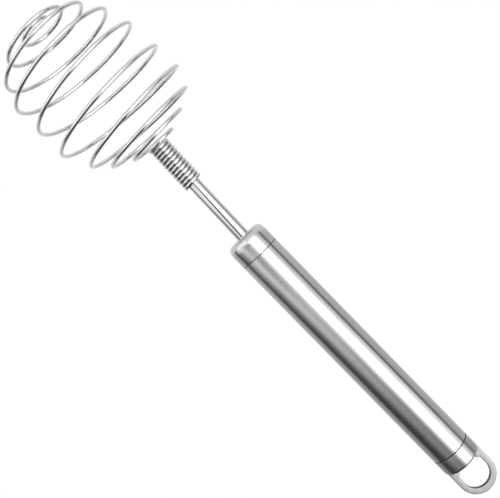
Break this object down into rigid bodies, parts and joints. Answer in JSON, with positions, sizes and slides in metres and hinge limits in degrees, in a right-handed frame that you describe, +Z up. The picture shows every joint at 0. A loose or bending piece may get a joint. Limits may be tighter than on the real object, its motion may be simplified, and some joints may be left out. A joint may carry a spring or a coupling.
{
  "type": "spring ball whisk",
  "caption": "Stainless whisk: a sprung wire ball on a plain rod, a brushed tube handle and a flat hanging loop. The ball squashes up as it is pushed down.",
  "frame": {"origin": "top of the hanging loop's eye, where a hook bears", "axes": "+Z up along the whisk from the wire ball to the hanging loop; the loop lies flat in the XZ plane; -Y is the side the picture shows"},
  "size_m": [0.0654, 0.0653, 0.2847],
  "materials": {
    "brushed_steel": "fine brushed stainless steel, grain round the handle",
    "satin_steel": "satin stainless steel strap",
    "polished_steel": "polished stainless steel rod",
    "spring_wire": "bright drawn stainless spring wire",
    "plain_steel": "plain stainless fixings"
  },
  "bodies": {
    "handle": {"handle_tube": "brushed_steel", "front_cap": "brushed_steel", "end_cap": "brushed_steel", "hanging_loop": "satin_steel", "shaft_rod": "polished_steel", "tang_washer": "plain_steel", "tang_nut": "plain_steel", "neck_coil": "spring_wire", "ball_coil": "spring_wire"},
    "whisk_tip": {"tip_curl": "spring_wire"}
  },
  "joints": [
    {"name": "ball_push", "type": "slide", "parent": "handle", "child": "whisk_tip", "axis": [0, 0, 1], "range_m": [0, 0.025], "stiffness_N_per_m": 60, "deforming": ["ball_coil"]}
  ]
}
